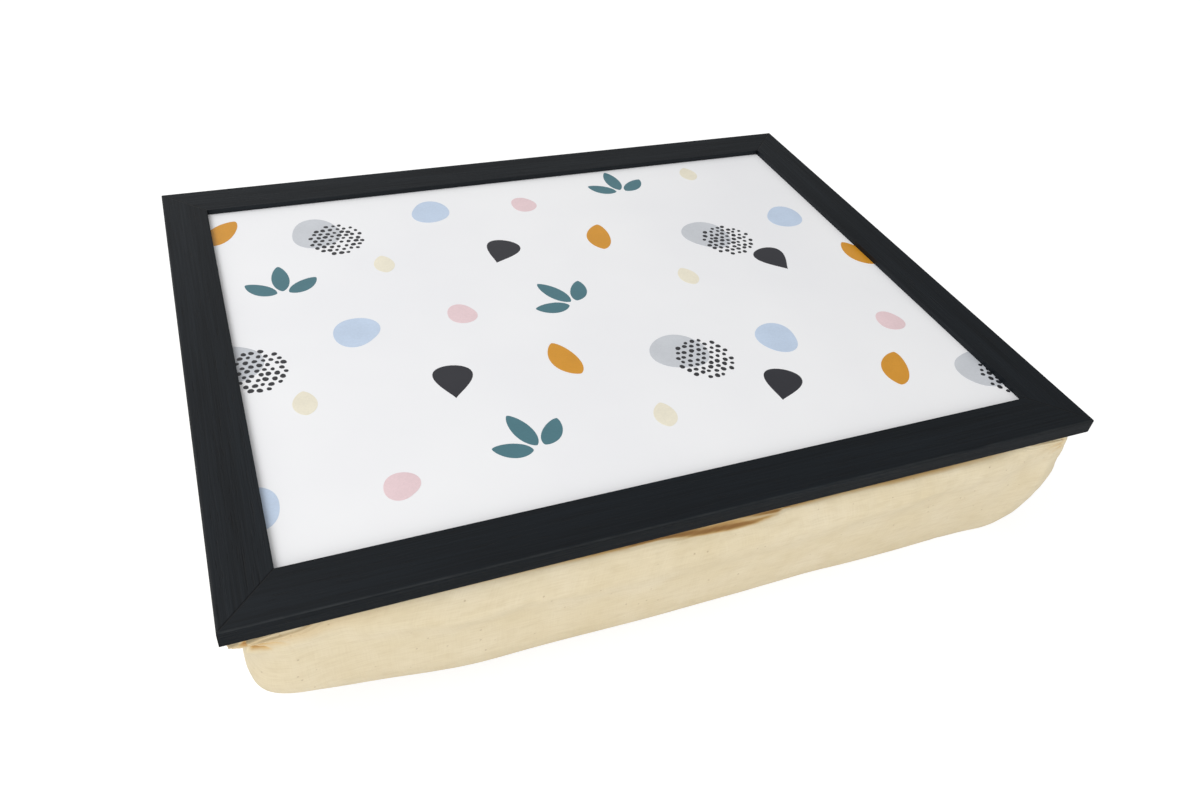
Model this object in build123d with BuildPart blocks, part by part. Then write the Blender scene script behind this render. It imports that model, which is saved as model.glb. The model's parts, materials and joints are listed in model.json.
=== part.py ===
from build123d import *
from math import cos, radians, sin
import os

# Lap tray with a bead cushion: a picture frame lies flat round a printed board, and a calico
# bag of polystyrene beads is stapled under it.
# Millimetres. +X runs along the long side, +Y away from the user and +Z up. The origin is the
# middle of the flat patch that the cushion rests on.

# Overall sizes
tray_length = 440.0
tray_width = 340.0
overall_height = 85.0

# Frame moulding
rail_width = 25.0
rail_height = 9.0
sight_lip = 3.2
rebate_width = 6.0
outer_arris_radius = 1.2
sight_arris_radius = 0.6
foot_arris_radius = 0.5

# Printed board
board_thickness = 3.0
laminate_thickness = 0.8
board_clearance = 0.5

# V nails across the mitres
v_nail_leg = 5.0
v_nail_thickness = 0.5
v_nail_height = 6.5
corner_v_nail_count = 2
v_nail_first_inset = 8.0
v_nail_pitch = 6.5

# Framer's points that keep the board up in its rebate
point_length = 13.0
point_bite = 5.0
point_width = 4.5
point_thickness = 0.6
point_tip = 2.0
long_rail_point_count = 4
short_rail_point_count = 3
point_end_margin = 60.0

# Cushion
cloth_thickness = 0.8
hem_width = 14.0
fullest_inset = 2.5
side_bow = 2.0
neck_draw = 7.5
neck_rise = 15.0
neck_bow = 0.5
neck_corner_radius = 10.0
slack_corner_radius = 92.0
full_corner_radius = 42.0
wall_slack_share = 0.2
foot_slack_share = 0.75
foot_round = 14.0
foot_rise = 31.0
foot_height = 1.2
crown_edge_tuck = 30.0
crown_edge_height = 0.3
crown_tuck = 70.0
rest_cut = 0.5
quarter_turn_steps = 4
widest_corner_share = 0.95

# Staples through the hem
staple_crown = 10.0
staple_leg = 7.0
staple_wire_width = 1.2
staple_wire_depth = 0.6
staple_board_margin = 4.0
long_rail_staple_count = 9
short_rail_staple_count = 7
staple_end_margin = 38.0

os.makedirs("parts", exist_ok=True)

# Heights that follow from the sizes above
frame_underside = overall_height - rail_height
laminate_top = overall_height - sight_lip
board_top = laminate_top - laminate_thickness
board_underside = board_top - board_thickness
bag_top = frame_underside - cloth_thickness
hem_underside = bag_top - cloth_thickness

# Plan sizes that follow
half_length = tray_length / 2
half_width = tray_width / 2
wall_inset = rail_width - rebate_width
staple_inset = wall_inset - staple_board_margin
board_length = tray_length - 2 * (wall_inset + board_clearance)
board_width = tray_width - 2 * (wall_inset + board_clearance)

# The four rails: their name, the direction that points in over the board, the half length of
# the side and the distance from the middle of the tray to the rail's outer face
sides = {
    "front": (Vector(0, 1, 0), half_length, half_width),
    "back": (Vector(0, -1, 0), half_length, half_width),
    "left": (Vector(1, 0, 0), half_width, half_length),
    "right": (Vector(-1, 0, 0), half_width, half_length),
}
long_sides = ("front", "back")


def side_plane(side, height):
    """Plane square to a rail at the middle of its outer face: x inwards, y up."""
    inwards, _, reach = sides[side]
    origin = inwards * -reach + Vector(0, 0, height)
    return Plane(origin=origin, x_dir=inwards, z_dir=inwards.cross(Vector(0, 0, 1)))


def flat_plane(side, height):
    """Level plane at the middle of a rail's outer face: x along the rail, y inwards."""
    upright = side_plane(side, height)
    return Plane(origin=upright.origin, x_dir=upright.z_dir, z_dir=Vector(0, 0, 1))


def spread(count, half_run, end_margin):
    """Even places along a side, the first and last an end margin from the corners."""
    reach = half_run - end_margin
    return [reach * (2 * step / (count - 1) - 1) for step in range(count)]


# V nails: two legs square to each other across the mitre, their point towards the board
with BuildPart() as corner_v_nails:
    with BuildSketch(Plane.XY.offset(frame_underside)):
        for nail in range(corner_v_nail_count):
            inset = v_nail_first_inset + nail * v_nail_pitch
            for turn, (side_x, side_y) in enumerate(((1, 1), (-1, 1), (-1, -1), (1, -1))):
                place = Vector(side_x * (half_length - inset), side_y * (half_width - inset), 0)
                with Locations(Location(place, (0, 0, turn * 90))):
                    Rectangle(v_nail_leg, v_nail_thickness, align=(Align.MIN, Align.MIN))
                    Rectangle(v_nail_thickness, v_nail_leg, align=(Align.MIN, Align.MIN))
    extrude(amount=v_nail_height)

# Framer's points: flat, with a sharpened end driven into the rebate wall under the board
with BuildPart() as board_points:
    for side, (_, half_run, _) in sides.items():
        count = long_rail_point_count if side in long_sides else short_rail_point_count
        tips = [(along, wall_inset - point_bite)
                for along in spread(count, half_run, point_end_margin)]
        with BuildSketch(flat_plane(side, board_underside)):
            with Locations(*tips):
                Polygon(
                    (0, 0),
                    (point_width / 2, point_tip),
                    (point_width / 2, point_length),
                    (-point_width / 2, point_length),
                    (-point_width / 2, point_tip),
                    align=None,
                )
        extrude(amount=-point_thickness)

# Staples: a crown under the hem and two legs up through both cloths into the rail
with BuildPart() as cushion_staples:
    for side, (_, half_run, _) in sides.items():
        count = long_rail_staple_count if side in long_sides else short_rail_staple_count
        leg_reach = (staple_crown - staple_wire_depth) / 2
        crowns = spread(count, half_run, staple_end_margin)
        legs = [along + end * leg_reach for along in crowns for end in (-1, 1)]
        with BuildSketch(flat_plane(side, hem_underside)):
            with Locations(*[(along, staple_inset) for along in crowns]):
                Rectangle(staple_crown, staple_wire_width)
        extrude(amount=-staple_wire_depth)
        with BuildSketch(flat_plane(side, hem_underside)):
            with Locations(*[(along, staple_inset) for along in legs]):
                Rectangle(staple_wire_depth, staple_wire_width)
        extrude(amount=staple_leg)

# Frame rails: one moulding section run along each side, mitred at both ends and cut out for
# the fasteners that bite into it
frame_rails = {}
for side, (inwards, half_run, _) in sides.items():
    run = side_plane(side, frame_underside)
    with BuildPart() as frame_rail:
        with BuildSketch(run) as moulding:
            with BuildLine():
                Polyline(
                    (0, 0),
                    (0, rail_height),
                    (rail_width, rail_height),
                    (rail_width, rail_height - sight_lip),
                    (wall_inset, rail_height - sight_lip),
                    (wall_inset, 0),
                    close=True,
                )
            make_face()
            top_corners = moulding.vertices().group_by(Axis.Y)[-1].sort_by(Axis.X)
            fillet(top_corners[0], outer_arris_radius)
            fillet(top_corners[-1], sight_arris_radius)
            fillet(moulding.vertices().group_by(Axis.Y)[0].sort_by(Axis.X)[0], foot_arris_radius)
        extrude(amount=half_run, both=True)
        for end in (-1, 1):
            corner = run.origin + run.z_dir * (end * half_run)
            split(bisect_by=Plane(origin=corner, z_dir=inwards * -1 - run.z_dir * end))
        add(corner_v_nails.part, mode=Mode.SUBTRACT)
        add(board_points.part, mode=Mode.SUBTRACT)
        add(cushion_staples.part, mode=Mode.SUBTRACT)
    frame_rail.part.label = f"frame_{side}_rail"
    frame_rails[side] = frame_rail.part

# Fibreboard core, and the printed laminate bonded on it, which bears up against the lip
with BuildPart() as tray_board:
    with BuildSketch(Plane.XY.offset(board_underside)):
        Rectangle(board_length, board_width)
    extrude(amount=board_thickness)

with BuildPart() as printed_laminate:
    with BuildSketch(Plane.XY.offset(board_top)):
        Rectangle(board_length, board_width)
    extrude(amount=laminate_thickness)


def bag_outline(height, inset, slack_radius, full_radius, bow):
    """Level outline of the bag: four bowed sides joined by round corners."""
    reach_x = half_length - inset
    reach_y = half_width - inset
    widest_radius = min(reach_x, reach_y) * widest_corner_share
    left_radius = min(slack_radius, widest_radius)
    right_radius = min(full_radius, widest_radius)
    left_x = reach_x - left_radius
    left_y = reach_y - left_radius
    right_x = reach_x - right_radius
    right_y = reach_y - right_radius
    with BuildSketch(Plane.XY.offset(height)) as outline:
        with BuildLine():
            ThreePointArc((-left_x, -reach_y), (0, -reach_y - bow), (right_x, -reach_y))
            CenterArc((right_x, -right_y), right_radius, -90, 90)
            ThreePointArc((reach_x, -right_y), (reach_x + bow, 0), (reach_x, right_y))
            CenterArc((right_x, right_y), right_radius, 0, 90)
            ThreePointArc((right_x, reach_y), (0, reach_y + bow), (-left_x, reach_y))
            CenterArc((-left_x, left_y), left_radius, 90, 90)
            ThreePointArc((-reach_x, left_y), (-reach_x - bow, 0), (-reach_x, -left_y))
            CenterArc((-left_x, -left_y), left_radius, 180, 90)
        make_face()
    return outline.sketch


def bag_stations():
    """Height, inset, slack share and bow of each outline up the bag: crown, foot, then neck."""
    stations = [
        (-rest_cut, crown_tuck, 1, side_bow),
        (crown_edge_height, crown_edge_tuck, (1 + foot_slack_share) / 2, side_bow),
    ]
    for step in range(quarter_turn_steps + 1):
        down = 1 - step / quarter_turn_steps
        turn = radians(90 * down)
        height = foot_height + foot_rise * (1 - sin(turn))
        slack = wall_slack_share + (foot_slack_share - wall_slack_share) * down
        stations.append((height, foot_round * (1 - cos(turn)), slack, side_bow))
    for step in range(quarter_turn_steps + 1):
        up = step / quarter_turn_steps
        turn = radians(90 * up)
        height = bag_top - neck_rise * (1 - sin(turn))
        bow = side_bow + (neck_bow - side_bow) * up
        stations.append((height, neck_draw * (1 - cos(turn)), wall_slack_share * (1 - up), bow))
    return stations


def bag_form(wall, floor, ceiling):
    """Closed form of the bag between two heights, a wall's thickness inside its outer face."""
    lowest = floor - rest_cut
    squeeze = (ceiling - lowest) / (bag_top + rest_cut)
    neck_radius = neck_corner_radius - wall
    with BuildPart() as form:
        for height, draw, slack, bow in bag_stations():
            slack_radius = neck_radius + (slack_corner_radius - neck_corner_radius) * slack
            full_radius = neck_radius + (full_corner_radius - neck_corner_radius) * slack
            station = lowest + (height + rest_cut) * squeeze
            inset = fullest_inset + wall + draw
            add(bag_outline(station, inset, slack_radius, full_radius, bow))
        loft(ruled=True)
        split(bisect_by=Plane.XY.offset(floor))
    return form.part


def neck_slab(inset, base, depth):
    """Slab of the neck's outline, drawn in by an inset."""
    radius = max(neck_corner_radius - inset, cloth_thickness)
    with BuildPart() as slab:
        add(bag_outline(base, fullest_inset + neck_draw + inset, radius, radius, neck_bow))
        extrude(amount=depth)
    return slab.part


# Room inside the bag, up through the hem to the top panel
bag_room = bag_form(cloth_thickness, cloth_thickness, hem_underside)
bag_room += neck_slab(hem_width, hem_underside, cloth_thickness)

# Calico bag: base and sides in one cloth, its top edge turned in as a flat hem
with BuildPart() as cushion_cover:
    add(bag_form(0, 0, bag_top))
    add(bag_room, mode=Mode.SUBTRACT)
    add(cushion_staples.part, mode=Mode.SUBTRACT)

# Flat cloth that closes the bag against the underside of the frame
with BuildPart() as cushion_top_panel:
    add(neck_slab(0, bag_top, cloth_thickness))
    add(cushion_staples.part, mode=Mode.SUBTRACT)

# Beads, as one body that fills the bag
with BuildPart() as bead_filling:
    add(bag_room)
    add(cushion_staples.part, mode=Mode.SUBTRACT)

corner_v_nails.part.label = "corner_v_nails"
board_points.part.label = "board_points"
cushion_staples.part.label = "cushion_staples"
tray_board.part.label = "tray_board"
printed_laminate.part.label = "printed_laminate"
cushion_cover.part.label = "cushion_cover"
cushion_top_panel.part.label = "cushion_top_panel"
bead_filling.part.label = "bead_filling"

pieces = [
    *frame_rails.values(),
    corner_v_nails.part,
    tray_board.part,
    printed_laminate.part,
    board_points.part,
    cushion_top_panel.part,
    cushion_cover.part,
    bead_filling.part,
    cushion_staples.part,
]
for piece in pieces:
    export_step(piece, f"parts/{piece.label}.step")
    print(piece.label, len(piece.solids()), "solids", round(piece.volume), "mm3")
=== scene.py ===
# %% [markdown]
# A lap tray is a picture frame that lies flat round a white printed board, with a calico cushion full of
# polystyrene beads stapled underneath. The rails, the board and the fasteners are good as solids, so they
# come from the CAD model and only get their finishes here. The cloth, the beads and the ink are made new,
# because a solid can't crease, slump or show a print.

# %% Load the CAD frame
import json
import math
from random import Random

import bpy
import numpy as np
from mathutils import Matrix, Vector, noise

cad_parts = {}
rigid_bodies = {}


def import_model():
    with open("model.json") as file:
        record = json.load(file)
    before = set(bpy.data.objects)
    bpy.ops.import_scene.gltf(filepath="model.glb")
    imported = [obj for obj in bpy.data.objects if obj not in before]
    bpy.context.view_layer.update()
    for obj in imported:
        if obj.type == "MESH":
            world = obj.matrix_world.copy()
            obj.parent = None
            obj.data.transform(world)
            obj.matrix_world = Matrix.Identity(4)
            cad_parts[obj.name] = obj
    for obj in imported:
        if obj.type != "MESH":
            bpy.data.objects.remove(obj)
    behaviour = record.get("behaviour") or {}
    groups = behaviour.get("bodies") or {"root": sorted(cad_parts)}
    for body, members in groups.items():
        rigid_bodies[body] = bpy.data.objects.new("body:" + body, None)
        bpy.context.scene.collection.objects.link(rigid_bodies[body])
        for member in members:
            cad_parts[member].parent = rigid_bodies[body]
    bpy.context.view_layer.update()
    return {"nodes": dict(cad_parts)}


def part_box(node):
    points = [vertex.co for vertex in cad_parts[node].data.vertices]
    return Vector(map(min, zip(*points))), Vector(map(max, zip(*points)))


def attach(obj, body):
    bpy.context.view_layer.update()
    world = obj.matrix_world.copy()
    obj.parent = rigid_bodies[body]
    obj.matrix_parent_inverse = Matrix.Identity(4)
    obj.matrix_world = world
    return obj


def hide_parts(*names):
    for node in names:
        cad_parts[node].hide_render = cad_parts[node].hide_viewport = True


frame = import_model()
nodes = frame["nodes"]
print("CAD pieces:", sorted(nodes))

# %% [markdown]
# The tray's own sizes are read from the CAD pieces, so the print, the panel and the bag's outline follow
# them. Folds and slumps that only follow the photograph are plain places in metres. The names are a joiner's:
# the sight edge is the inner edge of the frame, and the neck is the top of the bag, stapled to the rails.

# %% Measure the tray
board_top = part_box("printed_laminate")[1].z
rail_low, rail_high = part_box("frame_front_rail")
bag_low, bag_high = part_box("cushion_cover")
half_length, half_width = rail_high.x, -rail_low.y
rail_width = rail_high.y - rail_low.y
sight_x, sight_y = half_length - rail_width, half_width - rail_width
print("tray", round(2000 * half_length), "x", round(2000 * half_width), "mm, sight edge at",
      round(1000 * sight_x), "x", round(1000 * sight_y), "mm from the middle")

# %% [markdown]
# The camera stands in front of the tray, to the left and above, as in the photograph. Its place and lens
# come from matching the frame's twelve seen corners, which is surer than turning the view by eye. The
# picture was cropped off centre, and the lens shift stands for that crop.

# %% Place the camera
camera_data = bpy.data.cameras.new("photo_camera")
camera = bpy.data.objects.new("photo_camera", camera_data)
bpy.context.collection.objects.link(camera)
camera.location = (-0.196706, -0.411145, 0.402242)
camera.rotation_euler = [math.radians(angle) for angle in (50.046, -4.5832, -20.7962)]
camera_data.sensor_width = 36
camera_data.lens = 28.876
camera_data.shift_x, camera_data.shift_y = 0.02872, -0.01738
camera_data.clip_start, camera_data.clip_end = 0.01, 20
bpy.context.scene.camera = camera
print("camera at", tuple(camera.location))

# %% [markdown]
# The room is a plain white studio: a pale floor, a surround that lights the tray less from the right, and
# two large soft lamps. The floor shows white to the camera but keeps the tray's soft shadow, so its shader is
# part diffuse and part glow for camera rays only. More light would bleach the calico, so the lamps stay low.
# Three helpers wire the nodes: each input gets a value, or the output of another node.

# %% Helpers for shader nodes
def fill_socket(tree, socket, value):
    """Sets an input to a value, or joins it to another node's output."""
    if isinstance(value, bpy.types.NodeSocket):
        tree.links.new(value, socket)
    else:
        socket.default_value = value


def add_node(tree, kind, **inputs):
    """Adds a node and fills inputs by their names."""
    node = tree.nodes.new(kind)
    for name, value in inputs.items():
        fill_socket(tree, node.inputs[name.replace("_", " ")], value)
    return node


def add_in_order(tree, kind, *values):
    """Adds a node and fills its inputs in their order, for kinds whose inputs share a name."""
    node = tree.nodes.new(kind)
    for socket, value in zip(node.inputs, values):
        fill_socket(tree, socket, value)
    return node


print("node helpers ready")

# %% Set up the surround
scene = bpy.context.scene
scene.view_settings.view_transform = "Standard"

world = bpy.data.worlds.new("studio_surround")
scene.world = world
world.use_nodes = True
surround = world.node_tree
surround.nodes.clear()
look_way = add_node(surround, "ShaderNodeTexCoord").outputs["Generated"]
look_axes = add_node(surround, "ShaderNodeSeparateXYZ", Vector=look_way)
dim_right = add_node(surround, "ShaderNodeMapRange", Value=look_axes.outputs["X"],
                     From_Min=0.15, From_Max=0.65, To_Min=0.64, To_Max=0.32)
soft_light = add_node(surround, "ShaderNodeBackground", Color=(1.0, 0.99, 0.98, 1),
                      Strength=dim_right.outputs["Result"])
white_light = add_node(surround, "ShaderNodeBackground", Color=(1, 1, 1, 1), Strength=1.0)
rays = add_node(surround, "ShaderNodeLightPath").outputs
seen_or_through = add_in_order(surround, "ShaderNodeMath", rays["Is Camera Ray"], rays["Is Transmission Ray"])
seen_or_through.operation = "MAXIMUM"
light_choice = add_in_order(surround, "ShaderNodeMixShader", seen_or_through.outputs[0],
                            soft_light.outputs[0], white_light.outputs[0])
add_node(surround, "ShaderNodeOutputWorld", Surface=light_choice.outputs[0])
print("surround nodes:", len(surround.nodes))

# %% Hang the lamps
lamp_aim = Vector((0, 0, 0.04))


def soft_lamp(name, place, size, power):
    """A square soft lamp that faces the middle of the tray."""
    lamp_data = bpy.data.lights.new(name, "AREA")
    lamp_data.size = size
    lamp_data.energy = power
    lamp = bpy.data.objects.new(name, lamp_data)
    bpy.context.collection.objects.link(lamp)
    lamp.location = place
    lamp.rotation_euler = (lamp_aim - Vector(place)).to_track_quat("-Z", "Y").to_euler()


soft_lamp("window_lamp", (-1.1, 0.5, 1.5), 1.2, 14)
soft_lamp("front_lamp", (-0.3, -1.9, 0.7), 1.4, 16)
print("lamps:", [light.name for light in bpy.data.lights])

# %% Lay the floor
bpy.ops.object.select_all(action="DESELECT")
bpy.ops.mesh.primitive_plane_add(size=12, location=(0, 0, 0))
floor = bpy.context.object
floor.name = "floor"
paper = bpy.data.materials.new("white_paper")
paper.use_nodes = True
floor_tree = paper.node_tree
floor_tree.nodes.clear()
paper_face = add_node(floor_tree, "ShaderNodeBsdfDiffuse", Color=(0.82, 0.82, 0.82, 1))
seen_face = add_node(floor_tree, "ShaderNodeBsdfDiffuse", Color=(0.34, 0.34, 0.34, 1))
seen_glow = add_node(floor_tree, "ShaderNodeEmission", Color=(1, 1, 1, 1), Strength=0.80)
seen_paper = add_in_order(floor_tree, "ShaderNodeAddShader", seen_face.outputs[0], seen_glow.outputs[0])
is_seen = add_node(floor_tree, "ShaderNodeLightPath").outputs["Is Camera Ray"]
paper_choice = add_in_order(floor_tree, "ShaderNodeMixShader", is_seen,
                            paper_face.outputs[0], seen_paper.outputs[0])
add_node(floor_tree, "ShaderNodeOutputMaterial", Surface=paper_choice.outputs[0])
floor.data.materials.append(paper)
print("floor laid")

# %% [markdown]
# Every finish below is a small node tree round one Principled shader. The class starts such a finish with the
# colour and roughness set on the shader itself, and its short methods keep the cells readable. Colours that
# are seen are given as they are read off a screen, from 0 to 255, and turned into light values here.

# %% Helpers for the finishes
def screen_colour(red, green, blue):
    """Light values of a colour read off a screen."""
    def to_light(value):
        share = value / 255
        return share / 12.92 if share <= 0.04045 else ((share + 0.055) / 1.055) ** 2.4
    return (to_light(red), to_light(green), to_light(blue), 1)


class Finish:
    """A material under construction: its Principled shader and quick ways to add nodes."""

    def __init__(self, name, colour, roughness):
        self.material = bpy.data.materials.new(name)
        self.material.use_nodes = True
        self.tree = self.material.node_tree
        self.shader = self.tree.nodes["Principled BSDF"]
        self.shader.inputs["Base Color"].default_value = colour
        self.shader.inputs["Roughness"].default_value = roughness
        self.place = self.tree.nodes.new("ShaderNodeTexCoord").outputs["Object"]

    def link(self, source, target):
        self.tree.links.new(source, target)

    def add(self, kind, **inputs):
        return add_node(self.tree, kind, **inputs)

    def stretched(self, scale, place=None):
        """The piece's coordinates, scaled along each axis."""
        return self.add("ShaderNodeMapping", Vector=place or self.place, Scale=scale).outputs[0]

    def speckle(self, place, detail=2.0, roughness=0.5):
        """Noise between 0 and 1 at the coordinates' own scale."""
        return self.add("ShaderNodeTexNoise", Vector=place, Scale=1.0, Detail=detail,
                        Roughness=roughness).outputs["Fac"]

    def between(self, value, low, high, out_low=0.0, out_high=1.0):
        """A value's step from low to high, spread over another range and held at its ends."""
        node = self.add("ShaderNodeMapRange", Value=value, From_Min=low, From_Max=high,
                        To_Min=out_low, To_Max=out_high)
        return node.outputs["Result"]

    def maths(self, operation, first, second=0.5):
        node = add_in_order(self.tree, "ShaderNodeMath", first, second)
        node.operation = operation
        return node.outputs[0]

    def blend(self, share, first, second):
        """A colour between two others, either of them a colour or a socket."""
        node = self.tree.nodes.new("ShaderNodeMix")
        node.data_type = "RGBA"
        for index, value in ((0, share), (6, first), (7, second)):
            fill_socket(self.tree, node.inputs[index], value)
        return node.outputs[2]

    def paint(self, colour):
        self.link(colour, self.shader.inputs["Base Color"])

    def relief(self, height, depth, strength):
        """Bump of a depth in metres, on top of any relief that is there."""
        bump = self.add("ShaderNodeBump", Height=height, Strength=strength, Distance=depth)
        if self.shader.inputs["Normal"].links:
            self.link(self.shader.inputs["Normal"].links[0].from_socket, bump.inputs["Normal"])
        self.link(bump.outputs["Normal"], self.shader.inputs["Normal"])


def dress(piece, finish):
    """Gives a piece one finish all over."""
    piece.data.materials.clear()
    piece.data.materials.append(finish.material)


print("finish helpers ready")

# %% [markdown]
# The rails are a wood moulding wrapped in a black foil that is printed and pressed with a fine oak grain.
# The grain runs along each rail and meets at the mitre, so the long and the short rails need a finish each,
# with the noise stretched along the rail. A thin dark line marks the mitre itself, worked out from the
# distance to the diagonal, and the outer top edge of the foil is a little lighter in patches, partly as
# rubbed wear and partly as a painted highlight along the arris.

# %% Finish the rails
def black_foil(name, run_axis):
    foil = Finish(name, (0.006, 0.008, 0.010, 1), 0.52)

    def along_rail(run, across):
        return (run, across, across) if run_axis == "X" else (across, run, across)

    fibres = foil.speckle(foil.stretched(along_rail(22, 950)), 4, 0.6)
    bands = foil.speckle(foil.stretched(along_rail(5, 120)), 3, 0.5)
    pores = foil.between(foil.speckle(foil.stretched(along_rail(90, 1700)), 2), 0.60, 0.72)
    grain = foil.maths("ADD", foil.maths("MULTIPLY", fibres, 0.6), foil.maths("MULTIPLY", bands, 0.4))
    tone = foil.between(grain, 0.36, 0.66)
    colour = foil.blend(tone, screen_colour(4, 10, 16), screen_colour(13, 21, 28))
    colour = foil.blend(foil.maths("MULTIPLY", pores, 0.55), colour, screen_colour(4, 5, 6))

    axes = foil.add("ShaderNodeSeparateXYZ", Vector=foil.place)
    reach_x = foil.maths("ABSOLUTE", axes.outputs["X"])
    reach_y = foil.maths("ABSOLUTE", axes.outputs["Y"])
    off_mitre = foil.maths("SUBTRACT", foil.maths("SUBTRACT", reach_x, reach_y), half_length - half_width)
    mitre = foil.between(foil.maths("ABSOLUTE", off_mitre), 0.0002, 0.0007, 1.0, 0.0)
    colour = foil.blend(foil.maths("MULTIPLY", mitre, 0.8), colour, screen_colour(5, 6, 7))

    # the outer top edge is lighter in patches: partly rubbed wear, partly a painted highlight on the arris
    edge_x = foil.maths("SUBTRACT", reach_x, half_length - 0.0007)
    edge_y = foil.maths("SUBTRACT", reach_y, half_width - 0.0007)
    edge = foil.between(foil.maths("MAXIMUM", edge_x, edge_y), -0.0003, 0.0002)
    high = foil.between(axes.outputs["Z"], rail_high.z - 0.0010, rail_high.z - 0.0006)
    wear_and_highlight_patches = foil.between(foil.speckle(foil.stretched((60, 60, 60)), 3), 0.25, 0.60)
    wear_and_highlight = foil.maths("MULTIPLY", foil.maths("MULTIPLY", edge, high), wear_and_highlight_patches)
    colour = foil.blend(foil.maths("MULTIPLY", wear_and_highlight, 0.35), colour, screen_colour(52, 55, 56))
    foil.paint(colour)

    outer_side = foil.maths("MULTIPLY", edge, foil.maths("SUBTRACT", 1.0, high))
    foil.link(foil.between(outer_side, 0, 1, 0.22, 0.14), foil.shader.inputs["Specular IOR Level"])
    foil.link(foil.between(grain, 0.3, 0.7, 0.60, 0.46), foil.shader.inputs["Roughness"])
    foil.relief(fibres, 0.00018, 0.8)
    foil.relief(pores, -0.00010, 0.8)
    foil.relief(mitre, -0.0003, 0.6)
    return foil


long_foil = black_foil("black_foil_long", "X")
short_foil = black_foil("black_foil_short", "Y")
for rail in ("frame_front_rail", "frame_back_rail"):
    dress(nodes[rail], long_foil)
for rail in ("frame_left_rail", "frame_right_rail"):
    dress(nodes[rail], short_foil)
print("rails dressed")

# %% [markdown]
# The board's face is a white decorative laminate with a satin wipe clean surface. It isn't quite flat to the
# eye: pressed laminate has a very fine pebbling that softens reflections, and its white is faintly cool. The
# fibreboard under it and the steel fasteners are hidden in the tray, but they are seen when it is taken
# apart, so they get their real finishes too.

# %% Finish the board and the fasteners
laminate = Finish("white_laminate", screen_colour(244, 245, 248), 0.36)
cloudiness = laminate.speckle(laminate.stretched((9, 9, 9)), 3)
laminate.paint(laminate.blend(laminate.between(cloudiness, 0.35, 0.65),
                              screen_colour(243, 244, 247), screen_colour(247, 248, 250)))
laminate.relief(laminate.speckle(laminate.stretched((1400, 1400, 1400)), 2), 0.00002, 0.35)
laminate.link(laminate.between(cloudiness, 0.3, 0.7, 0.33, 0.39), laminate.shader.inputs["Roughness"])
dress(nodes["printed_laminate"], laminate)

fibreboard = Finish("raw_fibreboard", (0.30, 0.19, 0.10, 1), 0.85)
pressed_fibres = fibreboard.speckle(fibreboard.stretched((420, 420, 1500)), 5, 0.7)
fibreboard.paint(fibreboard.blend(fibreboard.between(pressed_fibres, 0.35, 0.68),
                                  (0.21, 0.12, 0.06, 1), (0.40, 0.27, 0.16, 1)))
fibreboard.relief(pressed_fibres, 0.0001, 0.6)
dress(nodes["tray_board"], fibreboard)

steel = Finish("zinc_plated_steel", (0.56, 0.57, 0.58, 1), 0.34)
steel.shader.inputs["Metallic"].default_value = 1.0
plating = steel.speckle(steel.stretched((900, 900, 900)), 3)
steel.link(steel.between(plating, 0.3, 0.7, 0.26, 0.46), steel.shader.inputs["Roughness"])
steel.relief(plating, 0.00002, 0.5)
for fastener in ("corner_v_nails", "board_points", "cushion_staples"):
    dress(nodes[fastener], steel)
print("board and fasteners dressed")

# %% [markdown]
# The print is ink on the laminate. It could be painted by nodes, but each motif is then a page of maths, and
# its edge is only as sharp as the formula. Cut as a flat film of ink it stays crisp from any distance and is
# one piece a colour, as a printer's plates are. The design is a plain scatter of sprigs, leaves, pebbles and
# dotted rounds on a staggered grid, and a seeded generator nudges each one, so it is the same every time.

# %% Choose the sizes of the motifs
ink_depth, dots_rise = 0.00016, 0.00004
ink_base = board_top - 0.0001
sprig_leaves = ((0.95, 0.020, 0.16), (0, 0.025, 0), (-0.95, 0.020, -0.16))  # lean, length and bend of each
sprig_leaf_width, stalk_length = 0.0098, 0.0042
leaf_size, leaf_bend = (0.029, 0.015), 0.22
drop_size, seed_size = (0.026, 0.019), (0.018, 0.012)
pebble_radius = {"stone": 0.0125, "crumb": 0.0085, "boulder": 0.0155}
dot_pitch, dot_least, dot_most, dot_nudge = 0.0042, 0.0011, 0.0016, 0.00028
dots_reach = 3.78 * dot_pitch
layout = Random(29)
print("ink is", round(1000 * ink_depth, 2), "mm deep")


# %% Draw the motifs
def pebble_line(radius, steps=40):
    """A round that is a little uneven, like a pebble."""
    lean, bump = layout.uniform(0, 6.28), layout.uniform(0, 6.28)
    line = []
    for step in range(steps):
        turn = 2 * math.pi * step / steps
        reach = radius * (1 + 0.07 * math.sin(2 * turn + lean) + 0.04 * math.sin(3 * turn + bump))
        line.append((reach * math.cos(turn), reach * math.sin(turn)))
    return line


def leaf_line(length, width, bend=0.0, steps=36):
    """A leaf from its stalk at the origin out along +X, pointed at both ends."""
    line = []
    for step in range(steps):
        turn = 2 * math.pi * step / steps
        run = 0.5 + 0.5 * math.cos(turn)
        swell = math.copysign(abs(math.sin(turn)) ** 1.35, math.sin(turn))
        line.append((length * run, width / 2 * swell * (1.12 - 0.24 * run) + bend * run * (1 - run) * length))
    return line


def drop_line(length, width, steps=36):
    """A drop with its point at the origin and its round end out along +X."""
    line = []
    for step in range(steps):
        turn = 2 * math.pi * step / steps
        run = 0.5 - 0.5 * math.cos(turn)
        line.append((length * run, width / 1.3 * math.sin(turn) * math.sin(turn / 2) ** 1.4))
    return line


def placed(line, x, y, turn):
    """An outline turned and moved to its place on the board."""
    c, s = math.cos(turn), math.sin(turn)
    return [(x + c * px - s * py, y + s * px + c * py) for px, py in line]


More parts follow.
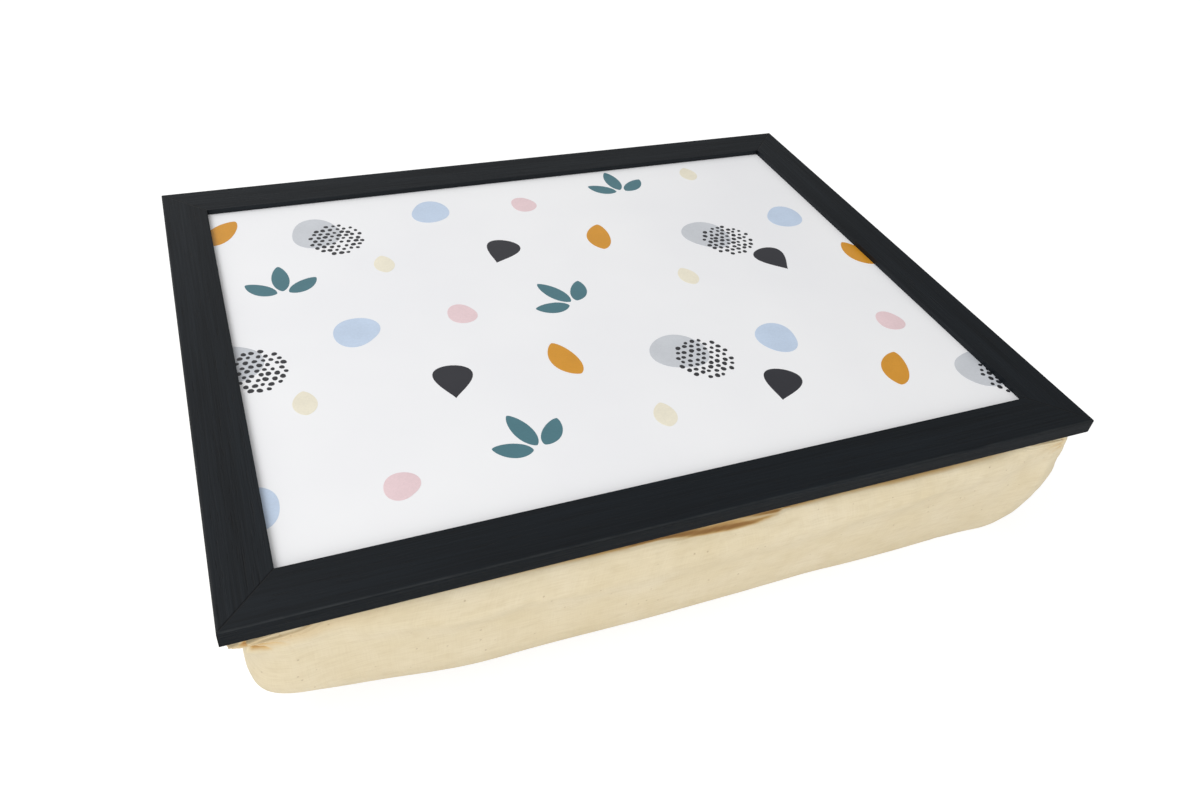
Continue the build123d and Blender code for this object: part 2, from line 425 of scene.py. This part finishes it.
def motif(kind, x, y, turn):
    """All outlines of one motif."""
    if kind == "sprig":
        leaves = []
        for lean, length, bend in sprig_leaves:
            way = turn + lean
            start_x, start_y = x + stalk_length * math.cos(way), y + stalk_length * math.sin(way)
            leaves.append(placed(leaf_line(length, sprig_leaf_width, bend), start_x, start_y, way))
        return leaves
    if kind == "leaf":
        return [placed(leaf_line(*leaf_size, leaf_bend), x, y, turn)]
    if kind == "drop":
        return [placed(drop_line(*drop_size), x, y, turn)]
    if kind == "seed":
        return [placed(leaf_line(*seed_size), x, y, turn)]
    return [placed(pebble_line(pebble_radius[kind]), x, y, turn)]


def dotted_round(x, y):
    """Small dots in rows that fill a round patch."""
    dots = []
    for row in range(-4, 5):
        for column in range(-4, 5):
            dot_x = (column + 0.5 * (row % 2)) * dot_pitch
            dot_y = row * dot_pitch * 0.9
            if math.hypot(dot_x, dot_y) < dots_reach:
                nudge_x, nudge_y = layout.gauss(0, dot_nudge), layout.gauss(0, dot_nudge)
                dot = pebble_line(layout.uniform(dot_least, dot_most), 12)
                dots.append(placed(dot, x + dot_x + nudge_x, y + dot_y + nudge_y, 0))
    return dots


print("motif shapes ready")

# %% Lay out the print
inks = {
    "teal": ("sprig", screen_colour(72, 118, 129)),
    "cream": ("seed", screen_colour(238, 232, 212)),
    "charcoal": ("drop", screen_colour(36, 37, 45)),
    "mustard": ("leaf", screen_colour(214, 149, 40)),
    "grey": ("boulder", screen_colour(203, 207, 213)),
    "sky": ("stone", screen_colour(196, 213, 235)),
    "blush": ("crumb", screen_colour(233, 207, 211)),
}
colour_order = list(inks)
outlines = {name: [] for name in colour_order + ["dots"]}
column_pitch, row_pitch = 0.066, 0.056
stray_x, stray_y = 0.007, 0.008
last_x, last_y = sight_x + 0.010, sight_y + 0.008
dots_right, dots_down = 0.011, 0.009
for row in range(-3, 4):
    for column in range(-4, 5):
        middle_x = (column + 0.5 * (row % 2)) * column_pitch + layout.uniform(-stray_x, stray_x)
        middle_y = row * row_pitch + layout.uniform(-stray_y, stray_y)
        if abs(middle_x) > last_x or abs(middle_y) > last_y:
            continue
        ink = colour_order[(column + 3 * row) % len(colour_order)]
        lean = layout.uniform(0.9, 2.2)
        outlines[ink] += motif(inks[ink][0], middle_x, middle_y, lean)
        if ink == "grey":
            outlines["dots"] += dotted_round(middle_x + dots_right, middle_y - dots_down)
print({name: len(lines) for name, lines in outlines.items()})


# %% Cut the ink films
def ink_film(name, lines, base, depth):
    """All shapes of one colour: circles pulled to their outlines, trimmed at the sight edge, then raised."""
    bpy.ops.object.select_all(action="DESELECT")
    shapes = []
    for line in lines:
        bpy.ops.mesh.primitive_circle_add(vertices=len(line), radius=0.01, fill_type="NGON")
        shape = bpy.context.object
        for corner, (x, y) in zip(shape.data.vertices, line):
            corner.co = (x, y, base)
        shapes.append(shape)
    bpy.ops.object.select_all(action="DESELECT")
    for shape in shapes:
        shape.select_set(True)
    bpy.context.view_layer.objects.active = shapes[0]
    bpy.ops.object.join()
    film = bpy.context.object
    film.name = film.data.name = name
    bpy.ops.object.mode_set(mode="EDIT")
    for x, y in ((1, 0), (-1, 0), (0, 1), (0, -1)):
        bpy.ops.mesh.select_all(action="SELECT")
        bpy.ops.mesh.bisect(plane_co=(x * sight_x, y * sight_y, 0), plane_no=(x, y, 0), clear_outer=True)
    bpy.ops.mesh.select_all(action="SELECT")
    bpy.ops.mesh.extrude_region_move(TRANSFORM_OT_translate={"value": (0, 0, depth)})
    bpy.ops.mesh.select_all(action="SELECT")
    bpy.ops.mesh.normals_make_consistent(inside=False)
    bpy.ops.object.mode_set(mode="OBJECT")
    return film


def ink_finish(name, colour):
    """Ink pressed into the laminate: its colour mottles a little and its sheen is the board's."""
    ink = Finish(name, colour, 0.36)
    mottle = ink.speckle(ink.stretched((900, 900, 900)), 3, 0.6)
    washes = ink.speckle(ink.stretched((60, 60, 60)), 2)
    lighter = tuple(min(1, 1.06 * value + 0.002) for value in colour[:3]) + (1,)
    darker = tuple(0.94 * value for value in colour[:3]) + (1,)
    tone = ink.maths("ADD", ink.maths("MULTIPLY", mottle, 0.5), ink.maths("MULTIPLY", washes, 0.5))
    ink.paint(ink.blend(ink.between(tone, 0.32, 0.68), darker, lighter))
    ink.relief(mottle, 0.00001, 0.4)
    return ink


for name in colour_order + ["dots"]:
    film = ink_film(f"print_{name}", outlines[name], ink_base, ink_depth + dots_rise * (name == "dots"))
    colour = inks[name][1] if name in inks else screen_colour(40, 41, 46)
    dress(film, ink_finish(f"ink_{name}", colour))
    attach(film, "root")
print("ink films:", len(colour_order) + 1)

# %% [markdown]
# The cushion is a bag of calico: unbleached cotton in a plain weave, cream with fine brown seed flecks and
# slightly uneven threads. The weave follows a map of the cloth, so threads run along the walls and round the
# corners. The map is made in a later cell, when the bag has its shape. Flecks and the uneven tone are noise,
# and the warm brown in the folds is painted shade that follows a number each point of the cloth keeps, made
# later.

# %% Finish the calico
thread_pitch = 0.0005


def calico_finish(name):
    calico = Finish(name, screen_colour(229, 217, 187), 0.88)
    calico.shader.inputs["Sheen Weight"].default_value = 0.12
    calico.shader.inputs["Sheen Roughness"].default_value = 0.5
    calico.shader.inputs["Specular IOR Level"].default_value = 0.2
    cloth_map = calico.tree.nodes.new("ShaderNodeUVMap")
    cloth_map.uv_map = "cloth_run"
    threads = cloth_map.outputs[0]
    run = calico.add("ShaderNodeSeparateXYZ", Vector=threads)
    warp_wave = calico.maths("SINE", calico.maths("MULTIPLY", run.outputs["X"], math.pi / thread_pitch))
    weft_wave = calico.maths("SINE", calico.maths("MULTIPLY", run.outputs["Y"], math.pi / thread_pitch))
    over = calico.between(calico.maths("MULTIPLY", warp_wave, weft_wave), -0.25, 0.25)
    under = calico.maths("SUBTRACT", 1.0, over)
    lift_warp = calico.maths("MULTIPLY", calico.maths("ABSOLUTE", warp_wave), over)
    lift_weft = calico.maths("MULTIPLY", calico.maths("ABSOLUTE", weft_wave), under)
    weave = calico.maths("ADD", lift_warp, lift_weft)

    warp_slubs = calico.speckle(calico.stretched((1300, 90, 1), threads), 3, 0.6)
    weft_slubs = calico.speckle(calico.stretched((70, 1200, 1), threads), 3, 0.6)
    slubs = calico.maths("ADD", calico.maths("MULTIPLY", warp_slubs, 0.35),
                         calico.maths("MULTIPLY", weft_slubs, 0.65))
    cloudy = calico.between(calico.speckle(calico.stretched((30, 30, 30)), 4, 0.55), 0.34, 0.66)
    uneven_weft = calico.speckle(calico.stretched((95, 300, 1), threads), 2, 0.5)
    seed_cells = calico.add("ShaderNodeTexVoronoi", Vector=calico.stretched((150, 150, 150)), Scale=1.0)
    seeds = calico.between(seed_cells.outputs["Distance"], 0.055, 0.095, 1.0, 0.0)
    painted_shade_layer = calico.add("ShaderNodeAttribute")
    painted_shade_layer.attribute_name = "painted_fold_shade"
    painted_fold_shade = painted_shade_layer.outputs["Fac"]

    colour = calico.blend(cloudy, screen_colour(225, 211, 178), screen_colour(232, 220, 192))
    for share, stain in (
        (calico.between(uneven_weft, 0.50, 0.72, 0.0, 0.22), screen_colour(205, 188, 152)),
        (calico.between(slubs, 0.44, 0.64, 0.0, 0.30), screen_colour(206, 188, 150)),
        (calico.between(weave, 0.5, 0.0, 0.0, 0.10), screen_colour(186, 166, 126)),
        (calico.maths("MULTIPLY", seeds, 0.34), screen_colour(140, 104, 58)),
        # painted shade in the folds, the hollow and under the rails: gold where light, brown where deep
        (calico.between(painted_fold_shade, 0.0, 0.5), screen_colour(212, 178, 120)),
        (calico.between(painted_fold_shade, 0.4, 1.0), screen_colour(160, 102, 46)),
    ):
        colour = calico.blend(share, colour, stain)
    calico.paint(colour)
    calico.relief(weave, 0.00007, 0.4)
    calico.relief(slubs, 0.00009, 0.45)
    return calico


calico = calico_finish("unbleached_calico")
print("calico ready")

# %% [markdown]
# The bag starts from the CAD model's bead filling, which has the outline that the photograph shows. A cushion
# could be sculpted from a box, but cloth under pressure finds its own soft hollows, so the copy is remeshed
# evenly and blown up by Blender's cloth simulation with its stapled top held. No point may move more
# than a few millimetres, which keeps the tray's size.

# %% Copy and remesh the bag
def take(piece):
    """Leaves only this piece selected, as the one that operators act on."""
    bpy.ops.object.select_all(action="DESELECT")
    piece.select_set(True)
    bpy.context.view_layer.objects.active = piece


bag = nodes["bead_filling"].copy()
bag.data = nodes["bead_filling"].data.copy()
bag.name = bag.data.name = "calico_cushion"
bag.parent = None
bag.matrix_world.identity()
bpy.context.collection.objects.link(bag)
bag.hide_render = bag.hide_viewport = False
take(bag)
bpy.ops.object.mode_set(mode="EDIT")
bpy.ops.mesh.select_all(action="SELECT")
bpy.ops.mesh.remove_doubles(threshold=0.00001)
bpy.ops.object.mode_set(mode="OBJECT")
bag.data.remesh_voxel_size = 0.006
bpy.ops.object.voxel_remesh()
print("bag after remesh:", len(bag.data.vertices), "points")


# %% Fill the bag
def points_of(mesh):
    """A mesh's points as an array."""
    points = np.empty(len(mesh.vertices) * 3)
    mesh.vertices.foreach_get("co", points)
    return points.reshape(-1, 3)


def set_points(mesh, points):
    mesh.vertices.foreach_set("co", points.ravel())
    mesh.update()


neck_height, held_depth = bag_high.z, 0.004
settle_frames, most_travel = 20, 0.0035
start = points_of(bag.data)
stapled = bag.vertex_groups.new(name="stapled")
stapled.add([int(i) for i in np.nonzero(start[:, 2] > neck_height - held_depth)[0]], 1.0, "REPLACE")
filling = bag.modifiers.new("Cloth", "CLOTH")
filling.settings.quality = 5
filling.settings.mass = 0.15
filling.settings.tension_stiffness = filling.settings.compression_stiffness = 25
filling.settings.shear_stiffness = 10
filling.settings.bending_stiffness = 0.6
filling.settings.use_pressure = True
filling.settings.uniform_pressure_force = 4
filling.settings.effector_weights.gravity = 0
filling.settings.vertex_group_mass = "stapled"
filling.collision_settings.use_collision = False
filling.point_cache.frame_start, filling.point_cache.frame_end = 1, settle_frames
for frame_number in range(1, settle_frames + 1):
    scene.frame_set(frame_number)
take(bag)
bpy.ops.object.modifier_apply(modifier="Cloth")
moved = points_of(bag.data) - start
travel = np.linalg.norm(moved, axis=1, keepdims=True)
print("cloth travel, mm: mean", round(1000 * float(travel.mean()), 2),
      "most", round(1000 * float(travel.max()), 2))
set_points(bag.data, start + moved * np.minimum(1, most_travel / np.maximum(travel, 1e-9)))
bag.vertex_groups.clear()
smoother = bag.modifiers.new("round_off", "SUBSURF")
smoother.levels = smoother.render_levels = 1
bpy.ops.object.modifier_apply(modifier="round_off")
print("bag filled:", len(bag.data.vertices), "points")

# %% [markdown]
# The real bag is slack. Its beads have slid to the right, so the left end is tucked up and the right end is
# full, and its foot swells a little past the straight wall. These slow changes are soft pushes, as with a
# large grab brush, each given by where it is, how wide it is and which way it goes, in millimetres. First the
# mesh is made finer at the neck, the corners and the folds, where the cloth bends most.

# %% Make the mesh finer where the cloth bends
def pick_faces(piece, wanted):
    """Leaves the piece in edit mode with only the wanted faces selected."""
    take(piece)
    bpy.ops.object.mode_set(mode="EDIT")
    bpy.ops.mesh.select_mode(type="FACE")
    bpy.ops.mesh.select_all(action="DESELECT")
    bpy.ops.object.mode_set(mode="OBJECT")
    for face in piece.data.polygons:
        face.select = wanted(face.center)
    bpy.ops.object.mode_set(mode="EDIT")


def from_corner(centre):
    """How far a place is from the nearest upright corner line of the frame."""
    return math.hypot(half_length - abs(centre.x), half_width - abs(centre.y))


def from_rim(centre):
    """How far a place is inside the frame's outline."""
    return min(half_length - abs(centre.x), half_width - abs(centre.y))


# a zone's least height, and how far in from the frame's outline or its corner it reaches
neck_zone, corner_zone = (0.060, 0.012), (0.046, 0.040)
fold_zone, slack_zone = (0.061, 0.028), (0.0625, 0.014)
slack_from, slack_to = -0.045, 0.038


def at_neck(centre):
    return centre.z > neck_zone[0] and from_rim(centre) < neck_zone[1]


def at_corner(centre):
    return centre.z > corner_zone[0] and from_corner(centre) < corner_zone[1]


def at_folds(centre):
    on_front = centre.y < slack_zone[1] - half_width and slack_from < centre.x < slack_to
    in_corner = centre.z > fold_zone[0] and from_corner(centre) < fold_zone[1]
    return in_corner or (on_front and centre.z > slack_zone[0])


for wanted in (at_neck, at_corner, at_folds):
    pick_faces(bag, wanted)
    bpy.ops.mesh.subdivide(number_cuts=1)
    bpy.ops.object.mode_set(mode="OBJECT")
    print("refined to", len(bag.data.vertices), "points")


# %% Slump the bag
def ease(low, high, value):
    """A soft step from 0 at low to 1 at high."""
    share = np.clip((value - low) / (high - low), 0, 1)
    return share * share * (3 - 2 * share)


def mound(points, centre, radius):
    """A soft round patch, 1 in its middle."""
    return np.exp(-(((points - np.array(centre)) / radius) ** 2).sum(axis=1))


def push(points, share, x=0.0, y=0.0, z=0.0):
    """Moves points by a share of a distance given in millimetres."""
    points += share[:, None] * np.array((x, y, z)) / 1000


def box_mm(points):
    """The least and the largest place of an array of points, in millimetres."""
    return np.round(1000 * points.min(axis=0), 1), np.round(1000 * points.max(axis=0), 1)


points = points_of(bag.data)
x, y, z = points.T.copy()
low_wall = 1 - ease(0.056, 0.070, z)
foot = np.exp(-((z - 0.010) / 0.016) ** 2)
full = ease(-0.19, -0.10, x)
foot_out, foot_down = 1.9, 3.4
for way_x, way_y, swell in ((0, -1, 2.4), (0, 1, 0.6), (1, 0, 0.6), (-1, 0, 0.0)):
    outward = way_x * x + way_y * y
    reach = half_width if way_y else half_length
    wall = ease(reach - 0.070, reach - 0.005, outward)
    push(points, wall * low_wall, swell * way_x, swell * way_y)
    push(points, wall * foot * full, foot_out * way_x, foot_out * way_y, -foot_down)
near = ease(-0.10, -0.165, y)
lifted = near * np.clip(1 - z / neck_height, 0, 1) * np.exp(-((x + 0.15) / 0.045) ** 2)
push(points, lifted, y=-1.6, z=1.5)
push(points, near * ease(-0.06, 0.10, x) * np.exp(-((z - 0.014) / 0.02) ** 2), y=2.8, z=-4.0)
places = points_of(bag.data)
# along the foot of the front from left to right, up its right end, and at the far right corner
for spot, radius, move in (
    ((-0.212, -0.150, 0.042), 0.018, (2.4, 0.0, -1.9)),
    ((-0.200, -0.158, 0.026), 0.020, (-6.4, -1.4, -1.1)),
    ((-0.165, -0.165, 0.018), 0.032, (0.0, 1.8, 1.3)),
    ((0.110, -0.160, 0.012), 0.026, (0.0, 0.0, -0.9)),
    ((0.140, -0.160, 0.012), 0.026, (0.0, 0.0, -1.9)),
    ((0.168, -0.158, 0.014), 0.024, (0.0, 0.0, -1.9)),
    ((0.192, -0.153, 0.018), 0.022, (-2.3, 0.0, -0.4)),
    ((0.208, -0.148, 0.030), 0.020, (7.4, -5.5, 0.0)),
    ((0.214, -0.150, 0.048), 0.018, (6.4, 0.0, 0.0)),
    ((0.215, -0.160, 0.056), 0.010, (2.0, 0.0, 0.0)),
    ((0.214, -0.155, 0.064), 0.014, (-3.2, 0.0, 0.0)),
    ((0.205, 0.155, 0.030), 0.028, (4.0, 1.5, 0.0)),
):
    push(points, mound(places, spot, radius), *move)
points[:, 2] = np.maximum(points[:, 2], 0)
set_points(bag.data, points)
print("slumped bag reaches, mm:", *box_mm(points))

# %% [markdown]
# Close up, the cloth shows how it was fitted. It turns in sharply under the rails, it is folded like a parcel
# at the four corners with a small ear standing out, and halfway along the front it was stapled with some
# slack, which leaves a long hollow. Fine creases run along the walls. Each is a level push along the way the
# cloth faces there. Each point also keeps a share of painted shade, deepest in the folds, shown in brown.

# %% Draw the cloth up under the rails
def facing_of(mesh):
    """The way that each point of a mesh faces, as an array."""
    facing = np.empty(len(mesh.vertices) * 3)
    mesh.vertex_normals.foreach_get("vector", facing)
    return facing.reshape(-1, 3)


facing = facing_of(bag.data)
flat_out = facing * (1, 1, 0)
points = points_of(bag.data)
x, y, z = points.T.copy()
on_wall = ease(0.25, 0.75, np.linalg.norm(flat_out, axis=1))


def crease(share, outward):
    """Pushes the cloth out of its wall, or into it, by millimetres."""
    global points
    points += (share * outward / 1000)[:, None] * flat_out


# the filling's neck draws in along a quarter round, and the cloth stays out until just under the rail
neck_draw, neck_rise = 0.0075, 0.015
turn_in = np.arcsin(np.clip(1 - (neck_height - z) / neck_rise, 0, 1))
drawn = 1000 * neck_draw * (1 - np.cos(turn_in))
crease(on_wall * (1 - 0.75 * ease(0.0722, 0.0750, z)), 0.85 * drawn)

# the slack between two staples halfway along the front ends softly on the left and bluntly on the right
slack_middle, slack_left, slack_right = 0.0095, 0.042, 0.0270
slack_height, slack_sag, hollow_depth = 0.0713, 0.0024, 3.0
slack_run = (x - slack_middle) / np.where(x < slack_middle, slack_left, slack_right)
slack_dip = 1 - np.clip(np.abs(slack_run), 0, 1) ** np.where(x < slack_middle, 1.2, 3.0)
above_rim = z - (slack_height - slack_sag * slack_dip)
slack = (np.abs(slack_run) < 1) * (y < 0) * on_wall
crease(slack * ease(-0.0002, 0.0010, above_rim) * slack_dip * ease(0.036, 0.004, x), -hollow_depth)
# painted brown shade in the hollow above its rim, darker towards its left part
painted_fold_shade = slack * ease(-0.0008, 0.0004, above_rim) * (0.30 + 0.42 * ease(0.026, 0.000, x))
painted_fold_shade *= np.clip(2 * slack_dip, 0, 1)

# elsewhere the cloth is pulled up snug under the rail, so its shoulder is short
set_in, snug_lift = 0.0025, 0.0016
along_long, along_short = half_length - set_in - np.abs(x), half_width - set_in - np.abs(y)
off_corner = np.hypot(along_long, along_short)
inside = np.minimum(half_length - np.abs(x), half_width - np.abs(y))
snug = ease(0.063, 0.0705, z) * ease(0.016, 0.010, inside) * ease(0.030, 0.042, off_corner)
snug *= 1 - (y < 0) * (np.abs(slack_run) < 1) * ease(0.0, 0.45, slack_dip)
points[:, 2] = np.minimum(points[:, 2] + snug_lift * snug, neck_height)
print("hollow in the front, mm:", round(1000 * (slack_left + slack_right)), "long,", hollow_depth, "deep")

# %% Fold the corners
# places on a corner are given by the run along the wall from the corner, minus on the short side
run = along_long - along_short
corner_patch = ease(0.042, 0.030, off_corner) * on_wall

# the cloth keeps the square corner of its hem, which at the very top stands out past the bag as an ear
to_square = np.clip(np.minimum(along_long, along_short), 0, 0.012) * ease(0.048, 0.030, off_corner)
ear_share = np.where(y < 0, np.where(x < 0, 1.0, 0.0), np.where(x < 0, 0.8, 0.6))
at_top = ear_share * np.clip((z - 0.0662) / 0.0065, 0, 1)
points[:, 0] += np.sign(x) * to_square * (0.20 * ease(0.050, 0.063, z) + 0.60 * at_top)
points[:, 1] += np.sign(y) * to_square * (0.70 * ease(0.050, 0.063, z) + 0.22 * at_top)
crease(corner_patch * ease(0.058, 0.064, z) * ease(0.0748, 0.0735, z) * (0.3 + 0.7 * ear_share), 1.2)
pinch = ear_share * corner_patch * np.exp(-((z - 0.0650) / 0.0026) ** 2)
crease(pinch * ease(0.014, 0.002, np.abs(run)), -1.4)


def groove(route, width, deep, share):
    """Presses a crease along a route of run and height, in millimetres, that is deepest at its start, and
    paints brown shade along it.
    """
    global painted_fold_shade
    route = np.array(route) / 1000
    gap, along = np.full(len(points), 1.0), np.zeros(len(points))
    for number, (start, stop) in enumerate(zip(route, route[1:])):
        span = stop - start
        at = np.clip(((run - start[0]) * span[0] + (z - start[1]) * span[1]) / (span @ span), 0, 1)
        off = np.hypot(run - start[0] - at * span[0], z - start[1] - at * span[1])
        along = np.where(off < gap, (number + at) / (len(route) - 1), along)
        gap = np.minimum(gap, off)
    here = share * corner_patch * (1 - along ** 2)
    crease(here * np.exp(-(gap / width) ** 2), -deep)
    # painted brown shade along the crease
    painted_fold_shade = np.maximum(painted_fold_shade, 0.85 * here * np.exp(-(gap / (1.25 * width)) ** 2))


# three folds on the long side and two on the short, as firm as the corner's strength, with a patch of painted
# brown shade
for sign_x, sign_y, strength in ((-1, -1, 1.0), (1, -1, 0.35), (-1, 1, 0.6), (1, 1, 0.5)):
    here = strength * (x * sign_x > 0) * (y * sign_y > 0)
    groove(((5.6, 73.5), (5.0, 69.5), (3.4, 66.0)), 0.0012, 2.0, here)
    groove(((5.4, 68.0), (8.5, 69.2), (12.0, 69.2), (16.0, 68.0), (24.0, 64.0)), 0.0011, 2.0, here)
    groove(((4.0, 65.2), (8.5, 65.2), (16.0, 62.6)), 0.0011, 1.8, here)
    groove(((-6.0, 68.6), (-10.0, 69.6), (-17.0, 67.0)), 0.0010, 1.6, 0.7 * here)
    groove(((-5.5, 65.2), (-8.0, 65.0), (-12.5, 62.8)), 0.0010, 1.2, 0.7 * here)
    # a soft patch of painted brown shade beside the folds
    corner_shade_patch = here * corner_patch * np.exp(-((np.abs(run) - 0.013) / 0.008) ** 2 - ((z - 0.0685) / 0.0035) ** 2)
    painted_fold_shade = np.maximum(painted_fold_shade, 0.28 * corner_shade_patch)
print("points in a corner fold:", int((painted_fold_shade * corner_patch > 0.1).sum()))


# %% Crease the walls
def waves(places):
    """Smooth noise between about -1 and 1 at each row of an array."""
    return np.array([noise.noise(Vector(place)) for place in places])


roll_depth, ripple_depth, tuck_depth, underside_depth = 1.0, 0.36, 0.6, 0.0006
rolls = waves(points * (16, 16, 45))
ripples = waves(points * (26, 26, 210) + points[:, :1] * (0, 0, 40) + (7, 0, 0))
tucks = waves(points * (150, 150, 22) + (0, 0, 5))
crease(on_wall, roll_depth * rolls)
crease(on_wall * (0.35 + 0.65 * ease(-0.10, 0.12, x)), ripple_depth * np.clip(ripples, -0.6, 0.6))
crease(on_wall * ease(0.046, 0.070, z) * ease(0.0705, 0.066, z), tuck_depth * tucks)
underside = ease(-0.6, -0.95, facing[:, 2]) * ease(0.0005, 0.004, z)
points[:, 2] += underside * underside_depth * rolls
points[:, 2] = np.maximum(points[:, 2], 0)
set_points(bag.data, points)
print("creased bag reaches, mm:", *box_mm(points))

# %% Keep the painted shade of the folds
# the cloth that lies level under the rail, and the left end of the walls, get some painted brown shade too
painted_rail_shade = ease(0.72, 0.92, facing_of(bag.data)[:, 2]) * ease(0.066, 0.069, z) * ease(0.012, 0.006, inside)
painted_rail_shade *= (0.80 - 0.25 * ease(0.03, 0.06, x)) * (1 - 0.7 * corner_patch)
left_shade = 0.22 * ease(-0.13, -0.20, x) * ease(0.062, 0.072, z) * on_wall
painted_fold_shade = np.clip(np.maximum(np.maximum(painted_fold_shade, left_shade), painted_rail_shade), 0, 1)
painted_shade_layer = bag.data.attributes.new("painted_fold_shade", "FLOAT", "POINT")
painted_shade_layer.data.foreach_set("value", painted_fold_shade)
print("mean depth of fold:", round(float(painted_fold_shade.mean()), 3))

# %% [markdown]
# So far the bag is a closed skin. Real calico is a sheet, and the top of the bag is a turned in hem 14 mm
# wide that the staples hold, with the cloth panel closing the middle. So the skin is cut away from the hem's
# end inwards, and Solidify gives the rest the thickness of the cloth. First a copy is kept for the beads.

# %% Cut the hem and give the cloth its thickness
bead_body = bag.copy()
bead_body.data = bag.data.copy()
bead_body.name = bead_body.data.name = "bead_fill"
bpy.context.collection.objects.link(bead_body)

hem_end, cloth_depth = 0.024, 0.0007
pick_faces(bag, lambda centre: centre.z > 0.070 and from_rim(centre) > hem_end)
bpy.ops.mesh.delete(type="FACE")
bpy.ops.object.mode_set(mode="OBJECT")
points = points_of(bag.data)
points[:, 2] = np.minimum(points[:, 2], neck_height)
set_points(bag.data, points)
cloth = bag.modifiers.new("cloth_thickness", "SOLIDIFY")
cloth.thickness, cloth.offset = cloth_depth, -1
bpy.ops.object.modifier_apply(modifier="cloth_thickness")
bag.data.shade_smooth()
print("calico bag:", len(bag.data.polygons), "faces")

# %% Map the cloth for its threads
def map_cloth(piece):
    """Lays threads level and upright on the walls, and square to the tray underneath."""
    mesh = piece.data
    cloth_map = mesh.uv_layers.get("cloth_run") or mesh.uv_layers.new(name="cloth_run")
    places = points_of(mesh)
    spots = np.empty(len(mesh.loops) * 2)
    for face in mesh.polygons:
        flat = abs(face.normal.z) > 0.72
        for loop in face.loop_indices:
            px, py, pz = places[mesh.loops[loop].vertex_index]
            if flat:
                spots[2 * loop], spots[2 * loop + 1] = px, py
            else:
                side_x, side_y = (1 if face.center.y < 0 else -1), (1 if face.center.x > 0 else -1)
                spots[2 * loop], spots[2 * loop + 1] = side_x * px + side_y * py, pz
    cloth_map.data.foreach_set("uv", spots)


map_cloth(bag)
dress(bag, calico)
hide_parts("cushion_cover")
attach(bag, "root")
print("cloth mapped")

# %% [markdown]
# A flat panel of the same calico closes the bag against the underside of the frame. It shows only as a thin
# puckered edge in the shadow under the rails. A grid is pulled to size, its corners are rounded off, its edge
# is drawn in and out a little between the staples, and Solidify makes it a cloth.

# %% Make the top panel
panel_low, panel_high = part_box("cushion_top_panel")
panel_x, panel_y = panel_high.x, panel_high.y
bpy.ops.object.select_all(action="DESELECT")
bpy.ops.mesh.primitive_grid_add(x_subdivisions=140, y_subdivisions=108, size=2, location=(0, 0, 0))
panel = bpy.context.object
panel.name = panel.data.name = "cushion_panel"
points = points_of(panel.data)
points *= (panel_x, panel_y, 0)
corner_round, pucker_x, pucker_y = 0.010, 0.0035, 0.0045
past_x = np.maximum(np.abs(points[:, 0]) - (panel_x - corner_round), 0)
past_y = np.maximum(np.abs(points[:, 1]) - (panel_y - corner_round), 0)
past = np.hypot(past_x, past_y)
shrink = np.where(past > corner_round, corner_round / np.maximum(past, 1e-9), 1)
points[:, 0] = np.sign(points[:, 0]) * (np.abs(points[:, 0]) - past_x * (1 - shrink))
points[:, 1] = np.sign(points[:, 1]) * (np.abs(points[:, 1]) - past_y * (1 - shrink))
edge_share = np.maximum(np.abs(points[:, 0]) / panel_x, np.abs(points[:, 1]) / panel_y) ** 24
pucker = waves(points * (70, 70, 0) + (0, 0, 3))
points[:, 0] *= 1 + edge_share * pucker_x * pucker
points[:, 1] *= 1 + edge_share * pucker_y * pucker
points[:, 2] = panel_low.z + 0.0001
set_points(panel.data, points)
panel_cloth = panel.modifiers.new("cloth_thickness", "SOLIDIFY")
panel_cloth.thickness, panel_cloth.offset = 0.0006, 1
bpy.ops.object.modifier_apply(modifier="cloth_thickness")
map_cloth(panel)
dress(panel, calico)
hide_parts("cushion_top_panel")
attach(panel, "root")
print("panel laid, mm:", round(2000 * panel_x), "x", round(2000 * panel_y))

# %% [markdown]
# The filling is thousands of polystyrene beads 3 to 5 mm across. As single balls they would be millions of
# faces for something that the cloth hides, so the filling is one body moulded on the inside of the bag, with
# its skin raised into rounds by a cell pattern, and white foam beads painted by the same kind of cells.

# %% Mould the beads
inside_cloth, round_height, rounds_per_metre = 0.0034, 0.0022, 150
take(bead_body)
set_points(bead_body.data, points_of(bead_body.data) - inside_cloth * facing_of(bead_body.data))
bead_body.data.remesh_voxel_size = 0.0042
bpy.ops.object.voxel_remesh()
points = points_of(bead_body.data)
rounds = np.array([noise.voronoi(Vector(place) * rounds_per_metre)[0][0] for place in points])
points += ((0.55 - np.clip(rounds, 0, 0.9)) * round_height)[:, None] * facing_of(bead_body.data)
points[:, 2] = np.clip(points[:, 2], bag_low.z + 0.0012, neck_height - 0.0016)
set_points(bead_body.data, points)
bead_body.data.shade_smooth()
print("bead body:", len(bead_body.data.polygons), "faces")

# %% Finish the beads
beads = Finish("polystyrene_beads", (0.86, 0.86, 0.84, 1), 0.6)
bead_cells = beads.add("ShaderNodeTexVoronoi", Vector=beads.stretched((240, 240, 240)), Scale=1.0)
bead_rounds = beads.between(bead_cells.outputs["Distance"], 0.0, 0.75, 1.0, 0.0)
# the gaps between the beads are painted grey as shade
beads.paint(beads.blend(bead_rounds, (0.55, 0.55, 0.52, 1), (0.90, 0.90, 0.88, 1)))
beads.relief(bead_rounds, 0.0012, 0.9)
dress(bead_body, beads)
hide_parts("bead_filling")
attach(bead_body, "root")
print("beads dressed")
